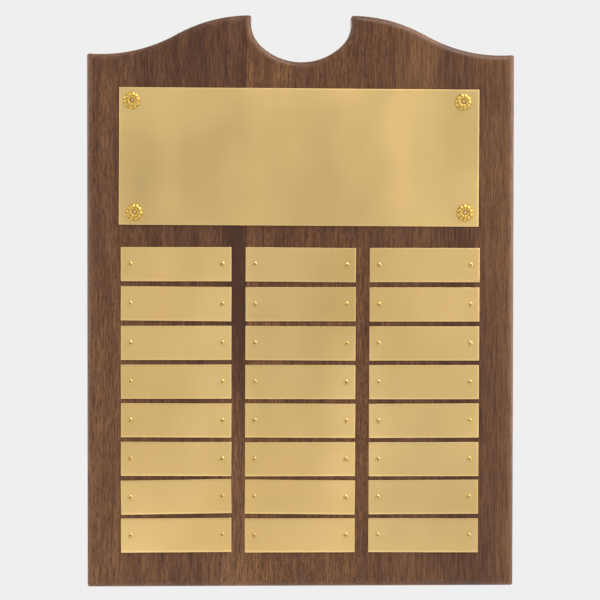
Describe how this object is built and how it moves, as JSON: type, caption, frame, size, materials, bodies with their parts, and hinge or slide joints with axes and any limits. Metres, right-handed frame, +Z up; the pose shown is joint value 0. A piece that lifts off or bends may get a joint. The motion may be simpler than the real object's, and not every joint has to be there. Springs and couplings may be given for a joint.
{
  "type": "perpetual award plaque",
  "caption": "Walnut wall plaque with a scrolled, notched top, a brass header plate under rosettes and a grid of pinned brass name plates.",
  "frame": {"origin": "centre of the flat back face, midway across the width and midway between the bottom edge and the horn tips", "axes": "+X towards the right as seen from the front, +Y out of the back towards the wall, +Z up"},
  "size_m": [0.279, 0.0218, 0.3734],
  "materials": {
    "walnut_dark": "satin lacquer over straight dark walnut, grain upright",
    "walnut_flecked": "satin lacquer over flecked walnut, grain upright",
    "walnut_plain": "satin lacquer over plain walnut, grain upright",
    "header_brass": "satin brushed along its length",
    "name_brass": "satin brushed along its length",
    "rosette_gilt": "bright gilt",
    "pin_brass": "polished dome",
    "pin_bronze": "dull dome",
    "hanger_steel": "zinc-plated sheet steel",
    "screw_steel": "yellow-passivated steel"
  },
  "bodies": {
    "root": {"board_stave_left": "walnut_dark", "board_stave_centre": "walnut_flecked", "board_stave_right": "walnut_plain", "header_plate": "header_brass", "name_plate_r1_c1": "name_brass", "name_plate_r1_c2": "name_brass", "name_plate_r1_c3": "name_brass", "name_plate_r2_c1": "name_brass", "name_plate_r2_c2": "name_brass", "name_plate_r2_c3": "name_brass", "name_plate_r3_c1": "name_brass", "name_plate_r3_c2": "name_brass", "name_plate_r3_c3": "name_brass", "name_plate_r4_c1": "name_brass", "name_plate_r4_c2": "name_brass", "name_plate_r4_c3": "name_brass", "name_plate_r5_c1": "name_brass", "name_plate_r5_c2": "name_brass", "name_plate_r5_c3": "name_brass", "name_plate_r6_c1": "name_brass", "name_plate_r6_c2": "name_brass", "name_plate_r6_c3": "name_brass", "name_plate_r7_c1": "name_brass", "name_plate_r7_c2": "name_brass", "name_plate_r7_c3": "name_brass", "name_plate_r8_c1": "name_brass", "name_plate_r8_c2": "name_brass", "name_plate_r8_c3": "name_brass", "name_plate_pins": "pin_brass", "rosette_top_left": "rosette_gilt", "rosette_top_right": "rosette_gilt", "rosette_bottom_left": "rosette_gilt", "rosette_bottom_right": "rosette_gilt", "rosette_pins": "pin_bronze", "keyhole_hanger_left": "hanger_steel", "keyhole_hanger_right": "hanger_steel", "hanger_screws": "screw_steel"}
  },
  "joints": []
}
